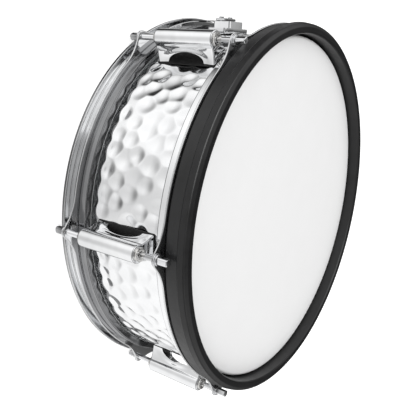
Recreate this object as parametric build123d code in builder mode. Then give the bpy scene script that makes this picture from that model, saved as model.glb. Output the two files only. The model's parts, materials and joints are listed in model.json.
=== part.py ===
"""Snare drum, 14 inch shell, as separate pieces. Millimetres.

The drum's axis is +Z with the batter head up. The origin is on that axis, at the flat rim of the
snare-side hoop that the drum rests on. The strainer is at +X, and the butt plate at -X.
"""

import os
from math import cos, hypot, radians, sin

from build123d import *

os.makedirs("parts", exist_ok=True)

# Shell
shell_radius = 177.8
shell_wall = 1.5
shell_depth = 121.0
snare_edge = 6.3
batter_edge = snare_edge + shell_depth
edge_crest_inset = 4.0
edge_lip_inset = 11.0
edge_lip_drop = 6.0
edge_rounding = 2.0
edge_rounding_loss = 0.6
bed_depth = 1.0
bed_width = 64.0

# Heads
film_thickness = 0.5
film_gap = 0.4
film_bend = 2.7
film_shoulder = 3.2
film_radius = shell_radius + film_gap + film_thickness
flesh_radius = 185.6
flesh_height = 9.4
flesh_rounding = 1.6

# Hoops
sheet = 1.8
snare_flange_low = 12.6
batter_flange_top = 117.0
flange_radius = 190.0
wall_radius = 183.4
rim_radius = 191.5
rim_curl = 3.0
rim_curl_lean = 0.6
hoop_top = batter_edge + 9.5
ear_half_width = 26.0
ear_tip_radius = 6.0
ear_root_fillet = 24.0
ear_hole_radius = 3.2
gate_half_width = 24.0

# Rim cover
cover_radius = 191.0
cover_inner_radius = 180.2
cover_low_radius = 186.6
cover_low = batter_flange_top + 0.2
cover_top = batter_edge + 13.0
cover_bead_height = 8.5
cover_bead_step = 0.6

# Lugs and tension rods
lug_count = 6
first_lug_angle = 30.0
lug_angles = [first_lug_angle + 360 / lug_count * index for index in range(lug_count)]
rod_circle = 197.0
rod_radius = 2.75
rod_flange_radius = 5.0
rod_flange_height = 1.4
rod_key_width = 6.3
rod_key_rounding = 1.9
rod_key_height = 9.4
rod_reach = 14.0
washer_radius = 5.6
washer_height = 1.0
washer_bore_radius = 3.0
lug_length = 64.0
lug_middle = 66.0
lug_low = lug_middle - lug_length / 2
lug_high = lug_middle + lug_length / 2
lug_barrel_radius = 8.4
lug_base_half_width = 11.5
lug_seat_depth = 5.0
lug_edge_rounding = 1.2
lug_arch_length = 40.0
lug_arch_height = 8.5
rod_gap = 0.1
lug_screw_spacing = 52.0
gasket_thickness = 0.8
gasket_radius = shell_radius + gasket_thickness
nut_radius = 5.0
nut_length = 13.0
nut_collar_radius = 6.1
nut_collar_height = 2.2
thread_clearance = 0.05
mount_screw_radius = 2.0
mount_screw_hole_radius = 2.2
mount_screw_head_radius = 4.2
mount_screw_head_height = 2.6
mount_washer_height = 1.0
mount_screw_depth = 7.0
screw_tip_gap = 1.5

# Vent
vent_angle = 120.0
vent_height = lug_middle
vent_bore_radius = 5.0
vent_tube_radius = 6.5
vent_flange_radius = 10.0
vent_flange_height = 1.4

# Strainer at +X
plate_half_width = 22.0
plate_face = 183.0
plate_low = 38.0
plate_high = 94.0
plate_corner = 4.0
plate_screw_inset = 5.0
plate_screw_y = 18.0
cheek_inner = 11.0
cheek_outer = 14.0
cheek_reach = 200.0
pivot_x = 195.0
pivot_z = 66.0
pin_radius = 2.0
hub_radius = 4.8
lever_half_width = 9.0
lever_length = 44.0
lever_back = 192.2
lever_front = 199.0
slider_half_width = 10.6
slider_back = 183.4
slider_front = 190.0
slider_low = 43.5
slider_high = 59.0
screw_x = 201.0
nose_reach = 207.0
nose_height = 6.0
knob_radius = 5.8
knob_height = 7.6
knob_grooves = 16
tension_screw_radius = 2.0
tension_screw_low = 31.0
carriage_low = 26.0
carriage_high = 39.5
carriage_bridge_low = 36.3
carriage_back = 187.2
carriage_front = 189.9
clamp_low = 27.0
clamp_high = 35.5
clamp_thickness = 2.4
clamp_screw_y = 8.3
clamp_screw_radius = 1.4
clamp_screw_head_radius = 2.3
clamp_screw_head_height = 1.6
clamp_screw_slot = 0.7

# Butt plate at -X
butt_low = 34.0
butt_high = 58.0
butt_clamp_low = 37.0
butt_clamp_high = 49.0
butt_front = 189.8

# Snare wires
wire_count = 20
wire_pitch = 2.0
wire_radius = 0.95
wire_half_length = 148.0
end_plate_inner = 146.0
end_plate_outer = 165.0
end_plate_half_width = 22.0
end_plate_low = 2.6
end_plate_thickness = 0.8
strap_half_width = 6.4
strap_thickness = 0.5
strap_middle = 3.95
strap_rise = 190.3
strap_inner = 150.0
strap_bend = 3.0
strap_slot_width = 2.4
strap_slot_inset = 5.0


def station(angle, height=0.0):
    """Plane at a height, with its X pointing outward from the drum's axis at an angle."""
    outward = (cos(radians(angle)), sin(radians(angle)), 0)
    return Plane(origin=(0, 0, height), x_dir=outward, z_dir=(0, 0, 1))


def side_plane(angle):
    """Upright plane through the axis: X points outward at an angle, and Y points up."""
    outward = (cos(radians(angle)), sin(radians(angle)), 0)
    across = (sin(radians(angle)), -cos(radians(angle)), 0)
    return Plane(origin=(0, 0, 0), x_dir=outward, z_dir=across)


def outward_plane(angle, radius, height):
    """Plane whose normal points outward at an angle, at a radius and height on the shell."""
    outward = (cos(radians(angle)), sin(radians(angle)), 0)
    origin = (radius * outward[0], radius * outward[1], height)
    return Plane(origin=origin, x_dir=(-outward[1], outward[0], 0), z_dir=outward)


def save(builder, name):
    """Label a finished piece and write it to its own file."""
    builder.part.label = name
    export_step(builder.part, f"parts/{name}.step")


def bent_sheet(points, corner_radii, thickness):
    """Section, in radius and height, of a bent sheet whose middle follows the points."""
    with BuildSketch(Plane.XZ) as section:
        with BuildLine():
            FilletPolyline(*points, radius=corner_radii)
            offset(amount=thickness / 2, side=Side.BOTH)
        make_face()
    return section.sketch


def lug_screw_stations():
    """Sideways offset and height of one lug's two screws."""
    return [(0, lug_middle - lug_screw_spacing / 2), (0, lug_middle + lug_screw_spacing / 2)]


def strainer_screw_stations():
    """Sideways offset and height of the strainer's four mounting screws."""
    return [(side * plate_screw_y, height) for side in (-1, 1)
            for height in (plate_low + plate_screw_inset, plate_high - plate_screw_inset)]


def butt_screw_stations():
    """Sideways offset and height of the butt plate's two mounting screws."""
    return [(side * plate_screw_y, (butt_low + butt_high) / 2) for side in (-1, 1)]


def drill_outward(angle, stations, radius, depth=shell_radius + 4):
    """Cut round holes from the drum's axis outward through whatever the open part has there."""
    with BuildSketch(outward_plane(angle, 0, 0)) as holes:
        with Locations(*stations):
            Circle(radius)
    extrude(holes.sketch, amount=depth, mode=Mode.SUBTRACT)


def trim_to_cylinder(radius):
    """Remove what the open part has inside an upright cylinder about the drum's axis."""
    with BuildSketch(Plane.XY) as core:
        Circle(radius)
    extrude(core.sketch, amount=cover_top, mode=Mode.SUBTRACT)


# Shell: rolled sheet with both bearing edges turned in
wall_middle = shell_radius - shell_wall / 2
low_crest = snare_edge + shell_wall / 2 - edge_rounding_loss
high_crest = batter_edge - shell_wall / 2 + edge_rounding_loss
lip = shell_radius - edge_lip_inset
crest = shell_radius - edge_crest_inset
shell_line = [
    (lip, low_crest + edge_lip_drop),
    (crest, low_crest),
    (wall_middle, low_crest + edge_crest_inset),
    (wall_middle, high_crest - edge_crest_inset),
    (crest, high_crest),
    (lip, high_crest - edge_lip_drop),
]
with BuildPart() as shell:
    revolve(bent_sheet(shell_line, edge_rounding, shell_wall), axis=Axis.Z)
    with BuildSketch(Plane.YZ):
        with Locations((0, snare_edge)):
            Ellipse(bed_width / 2, bed_depth)
    extrude(amount=shell_radius + 5, both=True, mode=Mode.SUBTRACT)
    for angle in lug_angles:
        drill_outward(angle, lug_screw_stations(), mount_screw_hole_radius)
    drill_outward(0, strainer_screw_stations(), mount_screw_hole_radius)
    drill_outward(180, butt_screw_stations(), mount_screw_hole_radius)
    drill_outward(vent_angle, [(0, vent_height)], vent_tube_radius)
save(shell, "shell")

# Vent grommet: a tube through the shell with a flange on each side
vent_inner = shell_radius - shell_wall - vent_flange_height
vent_span = shell_wall + 2 * vent_flange_height
with BuildPart() as vent_grommet:
    with BuildSketch(outward_plane(vent_angle, vent_inner, vent_height)):
        Circle(vent_flange_radius)
    extrude(amount=vent_span)
    chamfer(vent_grommet.edges().filter_by(GeomType.CIRCLE), length=0.5)
    with BuildSketch(Plane.XY):
        Circle(shell_radius)
        Circle(shell_radius - shell_wall, mode=Mode.SUBTRACT)
    extrude(amount=batter_edge, mode=Mode.SUBTRACT)
    with BuildSketch(outward_plane(vent_angle, vent_inner, vent_height)):
        Circle(vent_tube_radius)
    extrude(amount=vent_span)
    drill_outward(vent_angle, [(0, vent_height)], vent_bore_radius, shell_radius + vent_span)
save(vent_grommet, "vent_grommet")


def build_head_film(name, crest, outward, skirt_end):
    """Head over one bearing edge: a film with a rounded shoulder, and the collar below it.

    outward is +1 on the batter side, whose face looks up, and -1 on the snare side.
    """
    face = crest + outward * film_thickness
    shoulder_end = crest - outward * film_shoulder
    skirt_inner = film_radius - film_thickness
    with BuildPart() as film:
        with BuildSketch(Plane.XZ):
            with BuildLine():
                FilletPolyline((0, face), (film_radius, face), (film_radius, shoulder_end),
                               radius=film_bend + film_thickness)
                FilletPolyline((0, crest), (skirt_inner, crest), (skirt_inner, shoulder_end), radius=film_bend)
                Line((0, face), (0, crest))
                Line((film_radius, shoulder_end), (skirt_inner, shoulder_end))
            make_face()
        revolve(axis=Axis.Z)
    save(film, f"{name}_film")
    with BuildPart() as collar:
        with BuildSketch(Plane.XY.offset(min(shoulder_end, skirt_end))):
            Circle(film_radius)
            Circle(skirt_inner, mode=Mode.SUBTRACT)
        extrude(amount=abs(shoulder_end - skirt_end))
    save(collar, f"{name}_collar")


def build_flesh_hoop(name, low):
    """Metal hoop that grips the rim of a head, round-cornered in section."""
    with BuildPart() as flesh:
        with BuildSketch(Plane.XZ):
            with Locations(((film_radius + flesh_radius) / 2, low + flesh_height / 2)):
                Rectangle(flesh_radius - film_radius, flesh_height)
        revolve(axis=Axis.Z)
        fillet(flesh.edges().filter_by(GeomType.CIRCLE).group_by(SortBy.RADIUS)[-1], radius=flesh_rounding)
    save(flesh, name)


snare_flesh_low = snare_flange_low + sheet
batter_flesh_low = batter_flange_top - sheet - flesh_height
build_head_film("batter_head", batter_edge, 1, batter_flesh_low)
build_head_film("snare_head", snare_edge, -1, snare_flesh_low + flesh_height)
build_flesh_hoop("batter_flesh_hoop", batter_flesh_low)
build_flesh_hoop("snare_flesh_hoop", snare_flesh_low)


# Outline of one ear, pointing along +X
with BuildSketch(Plane.XY) as ear_outline:
    with Locations((rod_circle, 0)):
        Circle(ear_tip_radius)
    with Locations((wall_radius, 0)):
        Rectangle(2, 2 * ear_half_width)
    make_hull()


def add_ear_flange(low):
    """Flat flange of a hoop, with a drilled ear at each tension rod."""
    with BuildSketch(Plane.XY.offset(low)) as flange:
        Circle(flange_radius)
        with PolarLocations(0, lug_count, start_angle=first_lug_angle):
            add(ear_outline.sketch)
        roots = [v for v in flange.vertices() if abs(hypot(v.X, v.Y) - flange_radius) < 0.01 and abs(v.Y) > 1]
        fillet(roots, radius=ear_root_fillet)
        Circle(wall_radius, mode=Mode.SUBTRACT)
        with PolarLocations(rod_circle, lug_count, start_angle=first_lug_angle):
            Circle(ear_hole_radius, mode=Mode.SUBTRACT)
    extrude(flange.sketch, amount=sheet)


# Snare-side hoop: flange, wall and turned-out rim, with a gate cut for the straps at each end
rim_middle = sheet / 2
snare_flange_middle = snare_flange_low + sheet / 2
snare_hoop_line = [
    (flange_radius - 2, snare_flange_middle),
    (wall_radius, snare_flange_middle),
    (wall_radius, rim_middle),
    (rim_radius, rim_middle),
    (rim_radius + rim_curl_lean, rim_middle + rim_curl),
]
with BuildPart() as snare_hoop:
    add_ear_flange(snare_flange_low)
    revolve(bent_sheet(snare_hoop_line, (1.6, 2.2, 1.2), sheet), axis=Axis.Z)
    for end in (-1, 1):
        with BuildSketch(Plane.XY.offset(sheet + 0.1)):
            with Locations((end * (wall_radius + 3), 0)):
                Rectangle(16, 2 * gate_half_width)
        extrude(amount=snare_flange_low + sheet, mode=Mode.SUBTRACT)
save(snare_hoop, "snare_hoop")

# Batter hoop: flange with ears, and a taller wall that the rim cover hides
batter_flange_middle = batter_flange_top - sheet / 2
batter_wall_radius = wall_radius + 0.6
batter_hoop_line = [
    (flange_radius - 2, batter_flange_middle),
    (batter_wall_radius, batter_flange_middle),
    (batter_wall_radius, hoop_top - sheet / 2),
]
with BuildPart() as batter_hoop:
    add_ear_flange(batter_flange_top - sheet)
    revolve(bent_sheet(batter_hoop_line, 1.6, sheet), axis=Axis.Z)
save(batter_hoop, "batter_hoop")

# Rim cover: a thick rubber channel pushed down over the batter hoop's wall
hoop_wall_inner = batter_wall_radius - sheet / 2
hoop_wall_outer = batter_wall_radius + sheet / 2
with BuildPart() as rim_cover:
    with BuildSketch(Plane.XZ) as cover_outline:
        with BuildLine():
            Polyline(
                (hoop_wall_outer + 0.8, cover_low),
                (cover_low_radius, cover_low),
                (cover_radius - cover_bead_step - 1.0, cover_low + 3.0),
                (cover_radius - cover_bead_step, cover_top - cover_bead_height - 0.6),
                (cover_radius, cover_top - cover_bead_height),
                (cover_radius - 0.2, cover_top - cover_bead_height + 1.6),
                (cover_radius - 1.5, cover_top - 2.2),
                (cover_radius - 4.0, cover_top),
                (cover_inner_radius + 1.4, cover_top),
                (cover_inner_radius, cover_top - 1.4),
                (cover_inner_radius, cover_low + 3),
                (hoop_wall_inner, cover_low + 3),
                (hoop_wall_inner, hoop_top),
                (hoop_wall_outer, hoop_top),
                (hoop_wall_outer, cover_low + 0.8),
                close=True,
            )
        make_face()
        crown = cover_outline.vertices().filter_by(lambda v: v.X > cover_radius - 4.1 and v.Z > cover_top - 3)
        fillet(crown, radius=1.6)
        mouth = cover_outline.vertices().filter_by(lambda v: v.X < cover_inner_radius + 1.5 and v.Z > cover_top - 2)
        fillet(mouth, radius=0.8)
    revolve(axis=Axis.Z)
save(rim_cover, "rim_cover")

# Lug casting at angle zero: barrel ridge round the rods, wider seat, and an arch between its feet
with BuildPart() as lug_casting:
    with BuildSketch(Plane.XY.offset(lug_low)):
        with Locations((rod_circle, 0)):
            Circle(lug_barrel_radius)
        with Locations((gasket_radius + 1, 0)):
            Rectangle(2 * lug_seat_depth, 2 * lug_base_half_width)
        make_hull()
    extrude(amount=lug_length)
    end_faces = lug_casting.faces().filter_by(Axis.Z)
    fillet(end_faces.edges(), radius=lug_edge_rounding)
    with BuildSketch(side_plane(0)):
        with Locations((gasket_radius - 1.5, lug_middle)):
            Ellipse(lug_arch_height + 1.5, lug_arch_length / 2)
    extrude(amount=lug_base_half_width + 2, both=True, mode=Mode.SUBTRACT)
    trim_to_cylinder(gasket_radius)
    with BuildSketch(Plane.XY.offset(lug_low - 1)):
        with Locations((rod_circle, 0)):
            Circle(nut_radius)
    extrude(amount=lug_length + 2, mode=Mode.SUBTRACT)
    drill_outward(0, lug_screw_stations(), mount_screw_radius, gasket_radius + mount_screw_depth)
for index, angle in enumerate(lug_angles):
    with BuildPart() as lug:
        with PolarLocations(0, 1, start_angle=angle):
            add(lug_casting.part)
    save(lug, f"lug_{index + 1}")

# Gaskets: a curved pad under each lug, reaching a little past its feet
gasket_margin = 0.8
with BuildPart() as lug_gaskets:
    for angle in lug_angles:
        with BuildSketch(outward_plane(angle, shell_radius - 5, lug_middle)):
            RectangleRounded(2 * (lug_base_half_width + gasket_margin), lug_length + 2 * gasket_margin, radius=2)
        extrude(amount=gasket_thickness + 10)
    with BuildSketch(Plane.XY):
        Circle(gasket_radius)
    extrude(amount=batter_edge, mode=Mode.INTERSECT)
    trim_to_cylinder(shell_radius)
    for angle in lug_angles:
        drill_outward(angle, lug_screw_stations(), mount_screw_hole_radius)
save(lug_gaskets, "lug_gaskets")

# Swivel nuts: one in each end of a lug, with a collar outside the casting
with BuildPart() as swivel_nuts:
    for low, height, radius in (
        (lug_low, nut_length, nut_radius),
        (lug_low - nut_collar_height, nut_collar_height, nut_collar_radius),
        (lug_high - nut_length, nut_length, nut_radius),
        (lug_high, nut_collar_height, nut_collar_radius),
    ):
        with BuildSketch(Plane.XY.offset(low)):
            with PolarLocations(rod_circle, lug_count, start_angle=first_lug_angle):
                Circle(radius)
                Circle(rod_radius + thread_clearance, mode=Mode.SUBTRACT)
        extrude(amount=height)
save(swivel_nuts, "swivel_nuts")

# Nut spacers: a tube between the two nuts of each lug
with BuildPart() as nut_spacers:
    with BuildSketch(Plane.XY.offset(lug_low + nut_length)):
        with PolarLocations(rod_circle, lug_count, start_angle=first_lug_angle):
            Circle(nut_radius)
            Circle(nut_radius - 1.2, mode=Mode.SUBTRACT)
    extrude(amount=lug_length - 2 * nut_length)
save(nut_spacers, "nut_spacers")


def head_plane(sideways):
    """Distance from the axis at which a screw head and its washer just clear the shell's inside."""
    inner = shell_radius - shell_wall
    return (inner ** 2 - (abs(sideways) + mount_screw_head_radius) ** 2) ** 0.5


def add_disc_stack(angle, stations, from_head, height, radius, bore=0.0):
    """Add one round disc per screw station, measured outward from each screw's head plane."""
    for sideways, level in stations:
        with BuildSketch(outward_plane(angle, head_plane(sideways) + from_head, 0)) as disc:
            with Locations((sideways, level)):
                Circle(radius)
                if bore:
                    Circle(bore, mode=Mode.SUBTRACT)
        extrude(disc.sketch, amount=height)


def build_mount_screws(screw_name, washer_name, groups, shank):
    """Round-head screws driven outward to the shank distance, and the washer under each head."""
    with BuildPart() as screws:
        for angle, stations in groups:
            head_low = -mount_washer_height - mount_screw_head_height
            add_disc_stack(angle, stations, head_low, mount_screw_head_height, mount_screw_head_radius)
            length = shank - head_plane(stations[0][0]) + mount_washer_height
            add_disc_stack(angle, stations, -mount_washer_height, length, mount_screw_radius)
    save(screws, screw_name)
    with BuildPart() as washers:
        for angle, stations in groups:
            add_disc_stack(angle, stations, -mount_washer_height, mount_washer_height,
                           mount_screw_head_radius, mount_screw_hole_radius)
    save(washers, washer_name)


lug_groups = [(angle, lug_screw_stations()) for angle in lug_angles]
build_mount_screws("lug_screws", "lug_screw_washers", lug_groups, gasket_radius + mount_screw_depth - 1)


def build_rod(name, angle, washer_face, outward, inner_end):
    """Tension rod: threaded shank, round flange and a square key head with rounded corners.

    outward is +1 where the head points up, and -1 where it points down.
    """
    axis_point = (rod_circle * cos(radians(angle)), rod_circle * sin(radians(angle)))
    flange_face = washer_face + outward * rod_gap

    def level(height):
        across = (cos(radians(angle)), sin(radians(angle)), 0)
        return Plane(origin=(*axis_point, height), x_dir=across, z_dir=(0, 0, outward))

    with BuildPart() as rod:
        with BuildSketch(level(flange_face)):
            Circle(rod_flange_radius)
        extrude(amount=rod_flange_height)
        chamfer(rod.edges().sort_by(Axis.Z)[-1 if outward > 0 else 0], length=0.5)
        with BuildSketch(level(flange_face + outward * rod_flange_height)):
            RectangleRounded(rod_key_width, rod_key_width, radius=rod_key_rounding)
        extrude(amount=rod_key_height)
        chamfer(rod.faces().sort_by(Axis.Z)[-1 if outward > 0 else 0].edges(), length=0.6)
        with BuildSketch(level(inner_end)):
            Circle(rod_radius)
        extrude(amount=abs(flange_face - inner_end))
    save(rod, name)


batter_washer_face = batter_flange_top + washer_height
snare_washer_face = snare_flange_low - washer_height
for index, angle in enumerate(lug_angles):
    build_rod(f"batter_rod_{index + 1}", angle, batter_washer_face, 1, lug_high - rod_reach)
    build_rod(f"snare_rod_{index + 1}", angle, snare_washer_face, -1, lug_low + rod_reach)

with BuildPart() as rod_washers:
    for low in (snare_washer_face, batter_flange_top):
        with BuildSketch(Plane.XY.offset(low)):
            with PolarLocations(rod_circle, lug_count, start_angle=first_lug_angle):
                Circle(washer_radius)
                Circle(washer_bore_radius, mode=Mode.SUBTRACT)
        extrude(amount=washer_height)
save(rod_washers, "rod_washers")


def add_wall_plate(angle, low, high, half_width, face, back_radius):
    """Add an upright plate with rounded corners: flat outside, and curved to the shell inside."""
    with BuildSketch(outward_plane(angle, back_radius - 6, 0)) as outline:
        with Locations((0, (low + high) / 2)):
            RectangleRounded(2 * half_width, high - low, radius=plate_corner)
    extrude(outline.sketch, amount=face - back_radius + 6)
    trim_to_cylinder(back_radius)


def build_wall_gasket(name, angle, low, high, half_width, stations):
    """Thin curved pad between a plate and the shell."""
    with BuildPart() as pad:
        with BuildSketch(outward_plane(angle, shell_radius - 8, 0)):
            with Locations((0, (low + high) / 2)):
                RectangleRounded(2 * half_width, high - low, radius=plate_corner)
        extrude(amount=20)
        with BuildSketch(Plane.XY):
            Circle(gasket_radius)
        extrude(amount=batter_edge, mode=Mode.INTERSECT)
        trim_to_cylinder(shell_radius)
        drill_outward(angle, stations, mount_screw_hole_radius)
    save(pad, name)


# Strainer: housing with two cheeks that carry the lever's pin
build_wall_gasket("strainer_gasket", 0, plate_low, plate_high, plate_half_width, strainer_screw_stations())
build_mount_screws("strainer_screws", "strainer_screw_washers", [(0, strainer_screw_stations())],
                   plate_face - screw_tip_gap)
with BuildPart() as strainer_housing:
    add_wall_plate(0, plate_low, plate_high, plate_half_width, plate_face, gasket_radius)
    for cheek_start in (cheek_inner, -cheek_outer):
        with BuildSketch(Plane.XZ.offset(cheek_start)):
            with Locations((pivot_x, pivot_z)):
                Circle(cheek_reach - pivot_x + 1)
            with Locations((plate_face - 1, (plate_low + plate_high) / 2)):
                Rectangle(2, plate_high - plate_low - 16)
            make_hull()
        extrude(amount=cheek_outer - cheek_inner)
    with BuildSketch(Plane.XZ):
        with Locations((pivot_x, pivot_z)):
            Circle(pin_radius)
    extrude(amount=cheek_outer + 1, both=True, mode=Mode.SUBTRACT)
    drill_outward(0, strainer_screw_stations(), mount_screw_radius, plate_face - 1)
save(strainer_housing, "strainer_housing")

with BuildPart() as lever_pin:
    with BuildSketch(Plane.XZ):
        with Locations((pivot_x, pivot_z)):
            Circle(pin_radius)
    extrude(amount=cheek_outer + 0.6, both=True)
    chamfer(lever_pin.edges(), length=0.4)
save(lever_pin, "lever_pin")

# Lever: hub on the pin, and a handle that tapers up to a rounded tip
lever_tip_radius = 2.6
with BuildPart() as throw_off_lever:
    with BuildSketch(Plane.XZ):
        with Locations((pivot_x, pivot_z)):
            Circle(hub_radius)
        with Locations((pivot_x + 1.5, pivot_z + lever_length - lever_tip_radius)):
            Circle(lever_tip_radius)
        make_hull()
    extrude(amount=lever_half_width, both=True)
    fillet(throw_off_lever.faces().filter_by(Axis.Y).edges(), radius=1.0)
    with BuildSketch(Plane.XZ):
        with Locations((pivot_x, pivot_z)):
            Circle(pin_radius + thread_clearance)
    extrude(amount=lever_half_width + 1, both=True, mode=Mode.SUBTRACT)
save(throw_off_lever, "throw_off_lever")

# Slider: rides between the cheeks, with a nose that carries the tension screw
nose_low = slider_low + 2.9
nose_high = nose_low + nose_height
with BuildPart() as strainer_slider:
    with BuildSketch(Plane.XZ):
        with Locations(((slider_back + slider_front) / 2, (slider_low + slider_high) / 2)):
            Rectangle(slider_front - slider_back, slider_high - slider_low)
        with Locations(((slider_back + nose_reach) / 2, (nose_low + nose_high) / 2)):
            Rectangle(nose_reach - slider_back, nose_height)
    extrude(amount=slider_half_width, both=True)
    fillet(strainer_slider.edges().filter_by(Axis.Z).sort_by(Axis.X)[-2:], radius=4)
    with BuildSketch(Plane.XY.offset(nose_low - 1)):
        with Locations((screw_x, 0)):
            Circle(tension_screw_radius + 0.3)
    extrude(amount=nose_height + 2, mode=Mode.SUBTRACT)
save(strainer_slider, "strainer_slider")

# Tension knob with its screw
knob_low = nose_high + 0.2
with BuildPart() as tension_knob:
    with BuildSketch(Plane.XY.offset(knob_low)):
        with Locations((screw_x, 0)):
            Circle(knob_radius)
            with PolarLocations(knob_radius + 0.3, knob_grooves):
                Circle(0.7, mode=Mode.SUBTRACT)
            Circle(tension_screw_radius, mode=Mode.SUBTRACT)
    extrude(amount=knob_height)
save(tension_knob, "tension_knob")
with BuildPart() as tension_screw:
    with BuildSketch(Plane.XY.offset(tension_screw_low)):
        with Locations((screw_x, 0)):
            Circle(tension_screw_radius)
    extrude(amount=knob_low + knob_height - tension_screw_low)
save(tension_screw, "tension_screw")

# Strap carriage: hangs on the tension screw and holds the strap against its front
with BuildPart() as strap_carriage:
    with BuildSketch(Plane.XZ):
        with Locations(((carriage_back + carriage_front) / 2, (carriage_low + carriage_high) / 2)):
            Rectangle(carriage_front - carriage_back, carriage_high - carriage_low)
        with Locations(((carriage_back + nose_reach) / 2, (carriage_bridge_low + carriage_high) / 2)):
            Rectangle(nose_reach - carriage_back, carriage_high - carriage_bridge_low)
    extrude(amount=slider_half_width, both=True)
    fillet(strap_carriage.edges().filter_by(Axis.Z).sort_by(Axis.X)[-2:], radius=4)
    with BuildSketch(Plane.XY.offset(carriage_low)):
        with Locations((screw_x, 0)):
            Circle(tension_screw_radius + thread_clearance)
    extrude(amount=carriage_high - carriage_low + 1, mode=Mode.SUBTRACT)
    with BuildSketch(Plane.YZ.offset(carriage_back - 1)):
        with Locations(*[(side * clamp_screw_y, (clamp_low + clamp_high) / 2) for side in (-1, 1)]):
            Circle(clamp_screw_radius)
    extrude(amount=carriage_front - carriage_back + 2, mode=Mode.SUBTRACT)
save(strap_carriage, "strap_carriage")


def build_strap_clamp(plate_name, screw_name, angle, low, high, back, screw_depth):
    """Flat plate that pinches a strap, and the two screws that pull it in."""
    stations = [(side * clamp_screw_y, (low + high) / 2) for side in (-1, 1)]
    with BuildPart() as plate:
        with BuildSketch(outward_plane(angle, back, 0)):
            with Locations((0, (low + high) / 2)):
                RectangleRounded(2 * slider_half_width, high - low, radius=1.5)
            with Locations(*stations):
                Circle(clamp_screw_radius, mode=Mode.SUBTRACT)
        extrude(amount=clamp_thickness)
        chamfer(plate.faces().sort_by(Axis.X)[-1 if angle == 0 else 0].outer_wire().edges(), length=0.5)
    save(plate, plate_name)
    with BuildPart() as screws:
        with BuildSketch(outward_plane(angle, back + clamp_thickness, 0)):
            with Locations(*stations):
                Circle(clamp_screw_head_radius)
        extrude(amount=clamp_screw_head_height)
        with BuildSketch(outward_plane(angle, back + clamp_thickness + clamp_screw_head_height / 2, 0)):
            with Locations(*stations):
                Rectangle(2 * clamp_screw_head_radius, clamp_screw_slot)
        extrude(amount=clamp_screw_head_height, mode=Mode.SUBTRACT)
        with BuildSketch(outward_plane(angle, back - screw_depth, 0)):
            with Locations(*stations):
                Circle(clamp_screw_radius)
        extrude(amount=screw_depth + clamp_thickness)
    save(screws, screw_name)


clamp_back = strap_rise + strap_thickness / 2
build_strap_clamp("strap_clamp", "strap_clamp_screws", 0, clamp_low, clamp_high, clamp_back,
                  clamp_back - carriage_back)

# Butt plate: fixed anchor of the other strap
build_wall_gasket("butt_gasket", 180, butt_low, butt_high, plate_half_width, butt_screw_stations())
build_mount_screws("butt_screws", "butt_screw_washers", [(180, butt_screw_stations())], plate_face - screw_tip_gap)
with BuildPart() as butt_plate:
    add_wall_plate(180, butt_low, butt_high, plate_half_width, plate_face, gasket_radius)
    with BuildSketch(outward_plane(180, plate_face - 1, 0)):
        with Locations((0, (butt_low + butt_high) / 2)):
            RectangleRounded(2 * slider_half_width + 4, butt_high - butt_low - 2, radius=3)
    extrude(amount=butt_front - plate_face + 1)
    drill_outward(180, butt_screw_stations(), mount_screw_radius, plate_face - 1)
    drill_outward(180, [(side * clamp_screw_y, (butt_clamp_low + butt_clamp_high) / 2) for side in (-1, 1)],
                  clamp_screw_radius, butt_front + 1)
save(butt_plate, "butt_plate")
build_strap_clamp("butt_clamp", "butt_clamp_screws", 180, butt_clamp_low, butt_clamp_high, clamp_back, 5.0)

# Snare wires: a fan of straight coiled wires, drawn as round rods, on a plate at each end
wire_height = end_plate_low + end_plate_thickness + wire_radius
with BuildPart() as snare_wires:
    with BuildSketch(Plane.YZ.offset(-wire_half_length)):
        with Locations((0, wire_height)):
            with GridLocations(wire_pitch, 1, wire_count, 1):
                Circle(wire_radius)
    extrude(amount=2 * wire_half_length)
save(snare_wires, "snare_wires")


def build_end_plate(name, angle):
    """Thin plate under one end of the wires, slotted for the strap."""
    middle = (end_plate_inner + end_plate_outer) / 2
    with BuildPart() as plate:
        with BuildSketch(station(angle, end_plate_low)):
            with Locations((middle, 0)):
                RectangleRounded(end_plate_outer - end_plate_inner, 2 * end_plate_half_width, radius=3)
            with Locations((end_plate_outer - strap_slot_inset, 0)):
                Rectangle(strap_slot_width, 2 * strap_half_width + 1.2, mode=Mode.SUBTRACT)
        extrude(amount=end_plate_thickness)
    save(plate, name)


build_end_plate("end_plate_strainer", 0)
build_end_plate("end_plate_butt", 180)


def build_strap(name, angle, top):
    """Flat strap: out from the end plate, through the hoop's gate and up to its clamp."""
    with BuildPart() as strap:
        with BuildSketch(side_plane(angle)):
            with BuildLine():
                FilletPolyline((strap_inner, strap_middle), (strap_rise, strap_middle), (strap_rise, top),
                               radius=strap_bend)
                offset(amount=strap_thickness / 2, side=Side.BOTH)
            make_face()
        extrude(amount=strap_half_width, both=True)
    save(strap, name)


build_strap("strap_strainer", 0, clamp_high)
build_strap("strap_butt", 180, butt_clamp_high)
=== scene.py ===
"""Snare drum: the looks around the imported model. Metres, in the model's own frame.

The drum's axis is +Z with the batter head up, and it rests on z = 0. The strainer is at +X.
"""

import json
import math
import random

import bmesh
import bpy
import numpy as np
from mathutils import Matrix, Vector


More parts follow.
